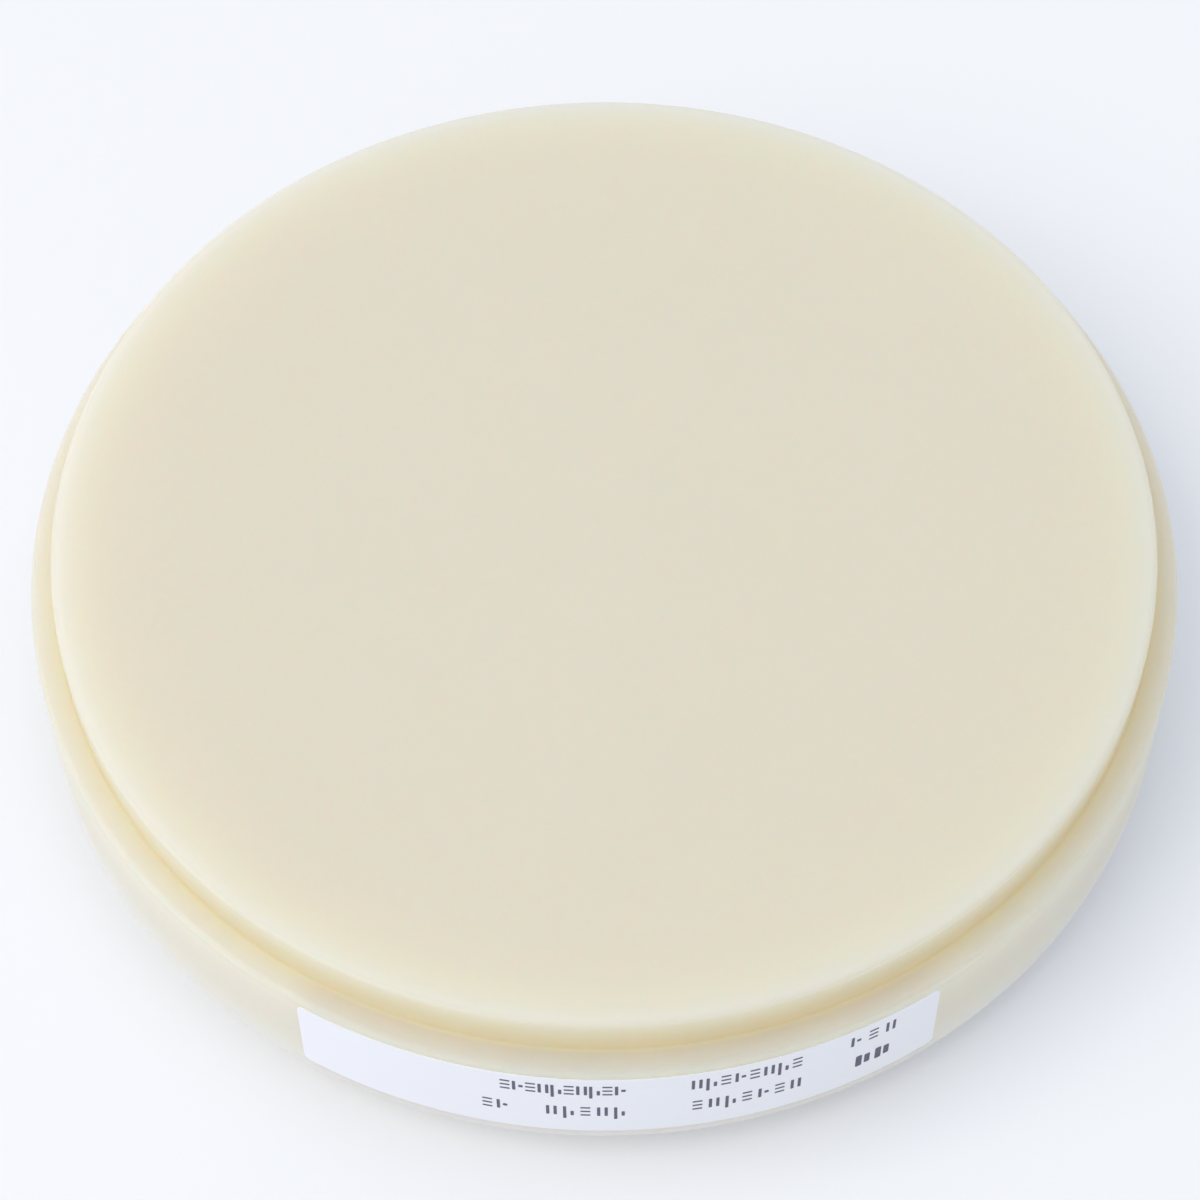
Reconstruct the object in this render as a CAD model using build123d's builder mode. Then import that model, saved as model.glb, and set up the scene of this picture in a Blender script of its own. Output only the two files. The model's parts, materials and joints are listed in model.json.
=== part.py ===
"""Dental milling disc: a blank of tooth-coloured resin, turned in one piece.

A wide flange runs round the middle of the disc, where the mill's holder grips it.
A slightly narrower boss stands on each side of the flange.
A paper label is stuck round the front of the flange.

Frame: millimetres, +Z up along the disc's axis, origin at the centre of its underside,
front towards -Y.
"""

import os
from math import degrees

from build123d import *

# Driving dimensions of the disc, in millimetres
flange_diameter = 98.0
flange_thickness = 12.0
step_width = 2.2
boss_height = 4.0
boss_edge_radius = 0.3
flange_edge_chamfer = 0.3

# Driving dimensions of the label, in millimetres and degrees
label_length = 54.0
label_thickness = 0.1
label_corner_radius = 0.6
label_upper_margin = 0.7
label_lower_margin = 1.3
label_azimuth = -88.8

# Dependent sizes of the disc
flange_radius = flange_diameter / 2
boss_radius = flange_radius - step_width
flange_bottom = boss_height
flange_top = flange_bottom + flange_thickness
disc_top = flange_top + boss_height

# Dependent sizes of the label, which is bent round the flange
label_height = flange_thickness - label_upper_margin - label_lower_margin
label_middle = flange_bottom + label_lower_margin + label_height / 2
label_arc = degrees(label_length / flange_radius)
label_start = label_azimuth - label_arc / 2

os.makedirs("parts", exist_ok=True)


# Disc: the stepped half section, turned about the axis
with BuildPart() as disc:
    with BuildSketch(Plane.XZ) as half_section:
        with BuildLine():
            Polyline(
                (0, 0),
                (boss_radius, 0),
                (boss_radius, flange_bottom),
                (flange_radius, flange_bottom),
                (flange_radius, flange_top),
                (boss_radius, flange_top),
                (boss_radius, disc_top),
                (0, disc_top),
                close=True,
            )
        make_face()

        # The flange's corners are broken by a chamfer, and the outer corners of the bosses rounded
        chamfer(half_section.vertices().group_by(Axis.X)[-1], flange_edge_chamfer)
        boss_corners = half_section.vertices().group_by(Axis.X)[1].sort_by(Axis.Y)
        fillet([boss_corners[0], boss_corners[-1]], boss_edge_radius)
    revolve(axis=Axis.Z)

disc.part.label = "disc"
export_step(disc.part, "parts/disc.step")


# Label: the paper's end section, turned round the flange from one end of the label to the other
with BuildPart() as rim_label:
    with BuildSketch(Plane.XZ.rotated((0, 0, label_start))):
        with Locations((flange_radius + label_thickness / 2, label_middle)):
            Rectangle(label_thickness, label_height)
    revolve(axis=Axis.Z, revolution_arc=label_arc)
    short_edges = rim_label.edges().group_by(SortBy.LENGTH)[0]
    fillet(short_edges, label_corner_radius)

rim_label.part.label = "rim_label"
export_step(rim_label.part, "parts/rim_label.step")
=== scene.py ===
import json
import math

import bpy
from mathutils import Matrix, Vector


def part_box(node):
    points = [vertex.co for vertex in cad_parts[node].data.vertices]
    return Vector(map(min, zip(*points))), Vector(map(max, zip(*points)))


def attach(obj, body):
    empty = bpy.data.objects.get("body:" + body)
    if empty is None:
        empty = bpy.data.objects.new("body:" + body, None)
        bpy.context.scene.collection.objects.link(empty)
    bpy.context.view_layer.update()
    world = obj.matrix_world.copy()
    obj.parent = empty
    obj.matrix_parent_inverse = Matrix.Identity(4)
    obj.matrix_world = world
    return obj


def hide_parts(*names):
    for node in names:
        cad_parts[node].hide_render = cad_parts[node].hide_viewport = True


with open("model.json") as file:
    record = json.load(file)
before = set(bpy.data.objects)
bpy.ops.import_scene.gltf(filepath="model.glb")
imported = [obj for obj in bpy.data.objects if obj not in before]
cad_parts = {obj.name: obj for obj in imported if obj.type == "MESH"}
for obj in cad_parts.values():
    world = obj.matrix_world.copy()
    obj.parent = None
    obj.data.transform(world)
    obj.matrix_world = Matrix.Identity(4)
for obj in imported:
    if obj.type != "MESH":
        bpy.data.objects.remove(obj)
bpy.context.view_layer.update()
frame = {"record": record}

MM = 0.001

# Sizes of the disc, read from the frame
mounts = {mount["name"]: mount for mount in frame["record"]["mounts"]}
flange_radius = mounts["rim"]["dims"]["r_mm"] * MM
boss_radius = mounts["upper_boss"]["dims"]["r_mm"] * MM
flange_bottom = mounts["lower_shoulder"]["pos_m"][2]
flange_top = mounts["upper_shoulder"]["pos_m"][2]
disc_bottom, disc_top = (corner.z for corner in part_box("disc"))
disc_middle = (disc_bottom + disc_top) / 2

# Small forms of the disc's edges, and how finely it is turned
boss_edge_radius = 0.3 * MM
boss_edge_steps = 6
flange_chamfer = 0.3 * MM
step_corner_radius = 0.2 * MM
step_corner_steps = 4
support_gap = 0.15 * MM
face_rings = 16
turns = 360

# The label
label_thickness = 0.1 * MM
label_corner_radius = 0.6 * MM
label_angle = math.radians(-88.8)
label_length = 54 * MM
label_half_angle = label_length / 2 / flange_radius
label_low = flange_bottom + 1.5 * MM
label_high = flange_top - 1.05 * MM

# Plain bars in the places of the print: start and end along the rim from the label's middle,
# the row's upper edge below the flange's top, all in millimetres, and the number of cells
print_groups = (
    (-9.8, 0.4, 2.1, 10),
    (5.4, 14.8, 2.1, 8),
    (18.5, 23.2, 2.1, 3),
    (-11.4, -9.0, 6.0, 2),
    (-6.3, 0.5, 6.0, 5),
    (5.4, 14.9, 6.0, 7),
)
bold_groups = ((19.2, 22.7, 6.0, 2),)

# What one cell holds: bars side by side, each with its middle's place across the cell, its upper
# edge below the row's, its width and its height, in millimetres
cell_forms = {
    "pair": ((-0.3, 0, 0.26, 1.6), (0.3, 0, 0.26, 1.6)),
    "tall": ((-0.3, 0, 0.26, 2.2), (0.3, 0.8, 0.26, 0.8)),
    "dot": ((-0.3, 0, 0.26, 1.6), (0.25, 0.6, 0.36, 0.4)),
    "dashes": ((0, 0, 0.8, 0.24), (0, 0.68, 0.8, 0.24), (0, 1.36, 0.8, 0.24)),
    "bold": ((-0.35, 0, 0.55, 1.9), (0.4, 0.2, 0.5, 1.5)),
}
cell_order = ("pair", "tall", "dashes", "dot", "dashes", "pair", "tall", "dashes")
bold_order = ("bold",)
ink_height = 0.015 * MM
ink_depth = 0.03 * MM
ink_corner_share = 0.25
ink_corner_steps = 3

# Colours are linear. The resin's colour follows the disc's section: the way from the boss's edge
# in millimetres, less than 0 inwards over the face, else down the step, out over the shoulder and
# down the rim. These tones are the cream resin's own colour with painted light and shade in them:
# paler, darker and more golden bands by how light falls on the face, the step, the shoulder and the
# rim
resin_tones_and_painted_light = (
    (-12.0, (0.751, 0.715, 0.590)),
    (-4.0, (0.744, 0.718, 0.591)),
    (-2.3, (0.740, 0.722, 0.595)),
    (-1.3, (0.723, 0.710, 0.600)),
    (-0.6, (0.714, 0.697, 0.596)),
    (-0.15, (0.660, 0.626, 0.498)),
    (0.25, (0.669, 0.636, 0.502)),
    (1.0, (0.683, 0.651, 0.490)),
    (1.8, (0.696, 0.661, 0.478)),
    (2.6, (0.723, 0.675, 0.473)),
    (3.3, (0.750, 0.706, 0.508)),
    (3.9, (0.764, 0.728, 0.543)),
    (4.3, (0.746, 0.724, 0.563)),
    (5.0, (0.695, 0.672, 0.546)),
    (5.9, (0.639, 0.613, 0.501)),
    (6.6, (0.707, 0.696, 0.577)),
    (7.8, (0.745, 0.737, 0.632)),
    (12.0, (0.733, 0.725, 0.640)),
)
# Painted light bounced up from the floor, paler and greyer low on the rim
painted_floor_bounce = (0.765, 0.762, 0.715)
resin_cloud = (0.989, 0.988, 0.984)
# Painted shade where the label keeps light out of the resin: on the shoulder over it and on the rim
# under it
painted_shade_over_label = (0.955, 0.920, 0.930)
painted_shade_under_label = (0.860, 0.860, 0.930)

# Where those tones come in, each from nothing to full: distances outside the bosses, then heights
shoulder_span = (0.1 * MM, 0.5 * MM)
rim_wall_span = (1.8 * MM, 2.1 * MM)
over_label_span = (flange_top - 0.4 * MM, flange_top)
under_label_span = (label_low + 0.1 * MM, label_low - 0.2 * MM)
rim_foot_span = (disc_middle - 1 * MM, flange_bottom + 0.5 * MM)
label_end_blur = math.radians(3)

# The resin's inside and surface; sizes are those of the noise's features
resin_scatter = (1.3, 0.8, 0.58)
resin_depth = 11 * MM
resin_refraction = 1.49
resin_roughness = (0.47, 0.53)
resin_bump = 0.25
cloud_size = 18 * MM
satin_size = 1.5 * MM
turning_size = 0.25 * MM

# Paper and ink
paper_colour = (0.885, 0.911, 0.978)
paper_shade = (0.87, 0.895, 0.96)
paper_roughness = (0.72, 0.88)
paper_bump = 0.3
paper_tone_size = 3 * MM
fibre_size = 0.12 * MM
ink_colour = (0.095, 0.095, 0.15)
ink_thin = (0.15, 0.15, 0.215)
ink_roughness = (0.5, 0.65)
ink_tone_size = 0.3 * MM

# The part of the noise that roughness follows, and the depth of every bump
noise_span = (0.3, 0.7)
bump_depth = 0.01 * MM

# The floor and the backdrop
floor_half_width = 3.0
floor_colour = (0.913, 0.930, 0.973)
floor_seen = (0.912, 0.906, 0.828)
floor_lift = (0.90, 1.08, 1.90)
lift_share = 0.13
backdrop = (0.915, 0.94, 0.98)

# Both lamps are this far away and this wide, in metres
lamp_distance = 2.0
lamp_width = 1.6

# The photograph's camera, worked out from the disc's edges
frame_pixels = 1200
focal_pixels = 3579.5
sensor_width = 36.0
camera_elevation = math.radians(57.56)
camera_distance = 304.23 * MM
camera_target = Vector((-0.367 * MM, -4.936 * MM, flange_top))
camera_roll = -0.00833
camera_near = 10 * MM


def make_object(name, vertices, faces, material, smooth=True):
    """A mesh object in the scene, from points in metres."""
    mesh = bpy.data.meshes.new(name)
    mesh.from_pydata([tuple(v) for v in vertices], [], faces)
    mesh.validate()
    for polygon in mesh.polygons:
        polygon.use_smooth = smooth
    mesh.materials.append(material)
    piece = bpy.data.objects.new(name, mesh)
    bpy.context.scene.collection.objects.link(piece)
    return piece


def new_material(name):
    """A node material, with its node tree and its principled shader."""
    material = bpy.data.materials.new(name)
    material.use_nodes = True
    tree = material.node_tree
    return material, tree, tree.nodes["Principled BSDF"]


def math_node(tree, operation, *values):
    """One sum: each value is a number or another node's output."""
    node = tree.nodes.new("ShaderNodeMath")
    node.operation = operation
    for socket, value in zip(node.inputs, values):
        if isinstance(value, (int, float)):
            socket.default_value = value
        else:
            tree.links.new(value, socket)
    return node.outputs[0]


def ramp_node(tree, value, start, end, low=0.0, high=1.0):
    """A smooth step from low to high as the value goes from start to end."""
    node = tree.nodes.new("ShaderNodeMapRange")
    node.interpolation_type = "SMOOTHSTEP"
    tree.links.new(value, node.inputs["Value"])
    node.inputs["From Min"].default_value = start
    node.inputs["From Max"].default_value = end
    node.inputs["To Min"].default_value = low
    node.inputs["To Max"].default_value = high
    return node.outputs["Result"]


def mix_node(tree, share, first, second, blend="MIX"):
    """Two colours mixed by a share; each colour is a triple or another node's output."""
    node = tree.nodes.new("ShaderNodeMix")
    node.data_type = "RGBA"
    node.blend_type = blend
    tree.links.new(share, node.inputs["Factor"])
    for socket, colour in ((node.inputs["A"], first), (node.inputs["B"], second)):
        if isinstance(colour, tuple):
            socket.default_value = (*colour, 1)
        else:
            tree.links.new(colour, socket)
    return node.outputs["Result"]


def noise_node(tree, size, detail=3.0):
    """Noise in the object's own space, with features of about the given size in metres."""
    place = tree.nodes.new("ShaderNodeTexCoord").outputs["Object"]
    node = tree.nodes.new("ShaderNodeTexNoise")
    node.inputs["Scale"].default_value = 1 / size
    node.inputs["Detail"].default_value = detail
    tree.links.new(place, node.inputs["Vector"])
    return node.outputs["Fac"]


def roughen(tree, shader, noise, roughness):
    """Roughness that follows the noise between two values."""
    tree.links.new(ramp_node(tree, noise, *noise_span, *roughness), shader.inputs["Roughness"])


def bump_node(tree, shader, height, strength):
    """A fine unevenness of the surface that follows the height given."""
    node = tree.nodes.new("ShaderNodeBump")
    node.inputs["Strength"].default_value = strength
    node.inputs["Distance"].default_value = bump_depth
    tree.links.new(height, node.inputs["Height"])
    tree.links.new(node.outputs["Normal"], shader.inputs["Normal"])


def disc_place(tree):
    """A surface point's distance outside the bosses, its height, and its angle about the axis."""
    place = tree.nodes.new("ShaderNodeTexCoord").outputs["Object"]
    split = tree.nodes.new("ShaderNodeSeparateXYZ")
    tree.links.new(place, split.inputs[0])
    x, y, z = split.outputs
    x_square = math_node(tree, "MULTIPLY", x, x)
    y_square = math_node(tree, "MULTIPLY", y, y)
    from_axis = math_node(tree, "SQRT", math_node(tree, "ADD", x_square, y_square))
    outwards = math_node(tree, "SUBTRACT", from_axis, boss_radius)
    return outwards, z, math_node(tree, "ARCTAN2", y, x)


def way_from_edge(tree, outwards, height):
    """The way along the stepped section from the boss's edge, which is 0, in metres."""
    from_middle = math_node(tree, "ABSOLUTE", math_node(tree, "SUBTRACT", height, disc_middle))
    downwards = math_node(tree, "SUBTRACT", disc_top - disc_middle, from_middle)
    return math_node(tree, "ADD", outwards, downwards)


def tone_node(tree, value, tones):
    """A colour that follows a value in metres through a row of tones placed in millimetres."""
    first = tones[0][0]
    last = tones[-1][0]
    place = tree.nodes.new("ShaderNodeMapRange")
    tree.links.new(value, place.inputs["Value"])
    place.inputs["From Min"].default_value = first * MM
    place.inputs["From Max"].default_value = last * MM
    node = tree.nodes.new("ShaderNodeValToRGB")
    tree.links.new(place.outputs["Result"], node.inputs["Fac"])
    stops = node.color_ramp.elements
    stops[0].color = (*tones[0][1], 1)
    stops[1].color = (*tones[-1][1], 1)
    for way, colour in tones[1:-1]:
        stop = stops.new((way - first) / (last - first))
        stop.color = (*colour, 1)
    return node.outputs["Color"]


def add_painted_floor_bounce(tree, outwards, height, tone):
    """The tone, paler and greyer low on the rim: painted light bounced up from the floor."""
    low_down = ramp_node(tree, height, *rim_foot_span)
    on_rim = ramp_node(tree, outwards, *rim_wall_span)
    return mix_node(tree, math_node(tree, "MULTIPLY", low_down, on_rim), tone, painted_floor_bounce)


def painted_label_shade(tree, outwards, height, angle, tone):
    """The tone with painted shade, darker on the shoulder over the label and on the rim under it,
    where the label keeps light out of the resin.
    """
    aside = math_node(tree, "ABSOLUTE", math_node(tree, "SUBTRACT", angle, label_angle))
    in_span = ramp_node(
        tree, aside, label_half_angle + label_end_blur, label_half_angle - label_end_blur
    )
    for height_span, way_span, shade in (
        (over_label_span, shoulder_span, painted_shade_over_label),
        (under_label_span, rim_wall_span, painted_shade_under_label),
    ):
        in_height = ramp_node(tree, height, *height_span)
        in_way = ramp_node(tree, outwards, *way_span)
        share = math_node(tree, "MULTIPLY", math_node(tree, "MULTIPLY", in_height, in_way), in_span)
        tone = mix_node(tree, share, tone, shade, "MULTIPLY")
    return tone


def tooth_resin():
    """Cream acrylic: light wanders some millimetres inside it, so its edges glow."""
    material, tree, shader = new_material("resin")
    outwards, height, angle = disc_place(tree)
    # Base colour: the resin's own cream with painted light and shade along the section
    tone = tone_node(tree, way_from_edge(tree, outwards, height), resin_tones_and_painted_light)
    # Painted floor bounce low on the rim
    tone = add_painted_floor_bounce(tree, outwards, height, tone)
    # Painted shade over and under the label
    tone = painted_label_shade(tree, outwards, height, angle, tone)
    tone = mix_node(tree, noise_node(tree, cloud_size, 1.0), tone, resin_cloud, "MULTIPLY")
    tree.links.new(tone, shader.inputs["Base Color"])

    shader.subsurface_method = "RANDOM_WALK"
    shader.inputs["Subsurface Weight"].default_value = 1.0
    shader.inputs["Subsurface Radius"].default_value = resin_scatter
    shader.inputs["Subsurface Scale"].default_value = resin_depth
    shader.inputs["IOR"].default_value = resin_refraction
    shader.inputs["Specular IOR Level"].default_value = 0.5
    roughen(tree, shader, noise_node(tree, satin_size, 1.0), resin_roughness)
    bump_node(tree, shader, noise_node(tree, turning_size, 0.0), resin_bump)
    return material


def label_paper():
    """Matt white paper with a fine tooth."""
    material, tree, shader = new_material("paper")
    tone = mix_node(tree, noise_node(tree, paper_tone_size), paper_colour, paper_shade)
    tree.links.new(tone, shader.inputs["Base Color"])
    shader.inputs["Specular IOR Level"].default_value = 0.2
    fibres = noise_node(tree, fibre_size, 4.0)
    roughen(tree, shader, fibres, paper_roughness)
    bump_node(tree, shader, fibres, paper_bump)
    return material


def label_ink():
    """Blue-grey ink that lets a little of the paper through."""
    material, tree, shader = new_material("ink")
    tone = mix_node(tree, noise_node(tree, ink_tone_size), ink_colour, ink_thin)
    tree.links.new(tone, shader.inputs["Base Color"])
    shader.inputs["Specular IOR Level"].default_value = 0.25
    roughen(tree, shader, noise_node(tree, fibre_size), ink_roughness)
    return material


def arc(centre, radius, start, end, steps):
    """Points on an arc, with angles in degrees."""
    angles = [math.radians(start + (end - start) * k / steps) for k in range(steps + 1)]
    return [(centre[0] + radius * math.cos(a), centre[1] + radius * math.sin(a)) for a in angles]


def upper_section():
    """Half section of the disc's upper half, from the middle of the flange's wall to the axis."""
    wall = [
        (flange_radius, disc_middle),
        (flange_radius, flange_top - flange_chamfer - support_gap),
        (flange_radius, flange_top - flange_chamfer),
        (flange_radius - flange_chamfer, flange_top),
        (flange_radius - flange_chamfer - support_gap, flange_top),
    ]
    corner_centre = (boss_radius + step_corner_radius, flange_top + step_corner_radius)
    corner = arc(corner_centre, step_corner_radius, 270, 180, step_corner_steps)
    edge_centre = (boss_radius - boss_edge_radius, disc_top - boss_edge_radius)
    edge = arc(edge_centre, boss_edge_radius, 0, 90, boss_edge_steps)
    inner = boss_radius - boss_edge_radius - support_gap
    rings = [inner * (1 - k / face_rings) for k in range(face_rings)]
    return wall + corner + edge + [(ring, disc_top) for ring in rings]


def turned_disc(material):
    """The disc, turned from its half section about the axis."""
    upper = upper_section()
    lower = [(r, 2 * disc_middle - z) for r, z in reversed(upper[1:])]
    section = lower + upper
    vertices = [(0, 0, disc_bottom)]
    for r, z in section:
        for k in range(turns):
            a = 2 * math.pi * k / turns
            vertices.append((r * math.cos(a), r * math.sin(a), z))
    top = len(vertices)
    vertices.append((0, 0, disc_top))
    last = 1 + (len(section) - 1) * turns
    faces = []
    for k in range(turns):
        after = (k + 1) % turns
        faces.append((0, 1 + after, 1 + k))
        for row in range(len(section) - 1):
            low = 1 + row * turns
            high = low + turns
            faces.append((low + k, low + after, high + after, high + k))
        faces.append((last + k, last + after, top))
    return make_object("turned_disc", vertices, faces, material)


def rim_point(distance, height, outward):
    """A point by the rim: distance along it from the label's middle, height, distance off it."""
    a = label_angle + distance / flange_radius
    radius = flange_radius + outward
    return (radius * math.cos(a), radius * math.sin(a), height)


def label_columns(half_height):
    """The label's columns from end to end: each one's place along the rim and half height."""
    corner_steps = 8
    plain_steps = 80
    half_length = label_length / 2
    right = []
    for k in range(corner_steps + 1):
        a = math.radians(90 * k / corner_steps)
        along = half_length - label_corner_radius * (1 - math.cos(a))
        inset = label_corner_radius * (1 - math.sin(a))
        right.append((along, half_height - inset))
    left = [(-along, height) for along, height in reversed(right)]
    plain = half_length - label_corner_radius
    between = [(plain * (1 - 2 * k / plain_steps), half_height) for k in range(1, plain_steps)]
    return right + between + left


def paper_label(material):
    """The label: a rounded strip bent round the rim, with the thickness of paper."""
    rows = 6
    middle = (label_low + label_high) / 2
    columns = label_columns((label_high - label_low) / 2)
    vertices = []
    for outward in (label_thickness, 0):
        for along, half_height in columns:
            for row in range(rows + 1):
                height = middle + half_height * (2 * row / rows - 1)
                vertices.append(rim_point(along, height, outward))
    count = len(columns) * (rows + 1)
    faces = []
    for column in range(len(columns) - 1):
        for row in range(rows):
            a = column * (rows + 1) + row
            b = a + rows + 1
            faces.append((a, a + 1, b + 1, b))
            faces.append((count + a, count + b, count + b + 1, count + a + 1))
        for row, step in ((0, 1), (rows, -1)):
            a = column * (rows + 1) + row
            b = a + rows + 1
            faces.append((a, b, count + b, count + a)[::step])
    for column, step in ((0, 1), (len(columns) - 1, -1)):
        for row in range(rows):
            a = column * (rows + 1) + row
            faces.append((a, count + a, count + a + 1, a + 1)[::step])
    return make_object("paper_label", vertices, faces, material, smooth=False)


def ink_mark(x, high, width, height, vertices, faces):
    """A thin rounded bar on the label: its middle along the rim, its upper edge and its size."""
    round_off = ink_corner_share * min(width, height)
    outline = []
    for side_x, side_z, start in ((1, 1, 0), (-1, 1, 90), (-1, -1, 180), (1, -1, 270)):
        centre = (side_x * (width / 2 - round_off), side_z * (height / 2 - round_off))
        outline += arc(centre, round_off, start, start + 90, ink_corner_steps)
    first = len(vertices)
    for outward in (label_thickness + ink_height, label_thickness - ink_depth):
        for across, up in outline:
            vertices.append(rim_point(x + across, high - height / 2 + up, outward))
    count = len(outline)
    faces.append(tuple(first + k for k in range(count)))
    faces.append(tuple(first + count + k for k in reversed(range(count))))
    for k in range(count):
        after = (k + 1) % count
        faces.append((first + k, first + count + k, first + count + after, first + after))


def label_print(material):
    """Plain bars, dots and dashes in the rows and groups of the label's print."""
    vertices = []
    faces = []
    for groups, order in ((print_groups, cell_order), (bold_groups, bold_order)):
        for start, end, below, cells in groups:
            pitch = (end - start) / cells
            for k in range(cells):
                middle = start + (k + 0.5) * pitch
                form = order[(k + cells) % len(order)]
                for across, down, width, height in cell_forms[form]:
                    x = (middle + across) * MM
                    high = flange_top - (below + down) * MM
                    ink_mark(x, high, width * MM, height * MM, vertices, faces)
    return make_object("label_print", vertices, faces, material, smooth=False)


def seen_rays(tree):
    """1 for camera rays and those that gloss and glass show, 0 for rays that carry light."""
    rays = tree.nodes.new("ShaderNodeLightPath").outputs
    glossy = math_node(tree, "MAXIMUM", rays["Is Glossy Ray"], rays["Is Transmission Ray"])
    return math_node(tree, "MAXIMUM", rays["Is Camera Ray"], glossy)


def mix_shaders(tree, share, first, second, surface):
    """Two shaders mixed by a share and led to the output's surface."""
    node = tree.nodes.new("ShaderNodeMixShader")
    tree.links.new(share, node.inputs[0])
    tree.links.new(first, node.inputs[1])
    tree.links.new(second, node.inputs[2])
    tree.links.new(node.outputs[0], surface)


def floor_material():
    """The pale floor, whose shadows are seen a little lighter and bluer than they are."""
    material, tree, shader = new_material("pale_floor")
    seen = seen_rays(tree)
    tree.links.new(mix_node(tree, seen, floor_colour, floor_seen), shader.inputs["Base Color"])
    shader.inputs["Roughness"].default_value = 0.9
    shader.inputs["Specular IOR Level"].default_value = 0.0
    lift = tree.nodes.new("ShaderNodeEmission")
    lift.inputs["Color"].default_value = (*floor_lift, 1)
    output = tree.nodes["Material Output"]
    share = math_node(tree, "MULTIPLY", seen, lift_share)
    mix_shaders(tree, share, shader.outputs[0], lift.outputs[0], output.inputs["Surface"])
    return material


def pale_floor():
    """A wide floor under the disc, which is part of the stage and not of the object."""
    corners = ((-1, -1), (1, -1), (1, 1), (-1, 1))
    vertices = [(x * floor_half_width, y * floor_half_width, 0) for x, y in corners]
    make_object("floor", vertices, [(0, 1, 2, 3)], floor_material())


def softbox(name, azimuth, elevation, power, colour):
    """A square area lamp that looks at the disc, with its angles in degrees."""
    lamp = bpy.data.lights.new(name, "AREA")
    lamp.shape = "SQUARE"
    lamp.size = lamp_width
    lamp.energy = power
    lamp.color = colour
    piece = bpy.data.objects.new(name, lamp)
    a = math.radians(azimuth)
    e = math.radians(elevation)
    way = Vector((math.cos(e) * math.cos(a), math.cos(e) * math.sin(a), math.sin(e)))
    piece.location = way * lamp_distance
    piece.rotation_euler = way.to_track_quat("Z", "Y").to_euler()
    bpy.context.scene.collection.objects.link(piece)


def world_light(strength, colour):
    """Even light from all sides, behind which the backdrop is what the camera sees."""
    world = bpy.data.worlds.new("studio")
    bpy.context.scene.world = world
    world.use_nodes = True
    tree = world.node_tree
    light = tree.nodes["Background"]
    light.inputs["Color"].default_value = (*colour, 1)
    light.inputs["Strength"].default_value = strength
    seen = tree.nodes.new("ShaderNodeBackground")
    seen.inputs["Color"].default_value = (*backdrop, 1)
    output = tree.nodes["World Output"]
    mix_shaders(tree, seen_rays(tree), light.outputs[0], seen.outputs[0], output.inputs["Surface"])


def photograph_camera():
    """The camera, turned by its elevation and roll about its target."""
    data = bpy.data.cameras.new("camera")
    data.sensor_width = sensor_width
    data.lens = sensor_width * focal_pixels / frame_pixels
    data.clip_start = camera_near
    camera = bpy.data.objects.new("camera", data)
    back = Vector((0, -math.cos(camera_elevation), math.sin(camera_elevation)))
    level = Vector((1, 0, 0))
    upright = Vector((0, math.sin(camera_elevation), math.cos(camera_elevation)))
    right = level * math.cos(camera_roll) + upright * math.sin(camera_roll)
    up = upright * math.cos(camera_roll) - level * math.sin(camera_roll)
    turn = Matrix((right, up, back)).transposed().to_4x4()
    camera.matrix_world = Matrix.Translation(camera_target + back * camera_distance) @ turn
    bpy.context.scene.collection.objects.link(camera)
    bpy.context.scene.camera = camera


bpy.context.scene.view_settings.view_transform = "Standard"
photograph_camera()
pale_floor()
world_light(strength=0.67, colour=(1.0, 1.0, 0.98))
softbox("key", azimuth=202, elevation=50, power=16.8, colour=(1.05, 1.0, 1.01))
softbox("overhead", azimuth=0, elevation=90, power=3.25, colour=(0.75, 1.0, 1.4))

disc = turned_disc(tooth_resin())
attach(disc, "root")
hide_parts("disc")

# The label is hidden from diffuse rays, so that it doesn't darken the light inside the resin
label = paper_label(label_paper())
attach(label, "root")
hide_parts("rim_label")
label.visible_diffuse = False

marks = label_print(label_ink())
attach(marks, "root")
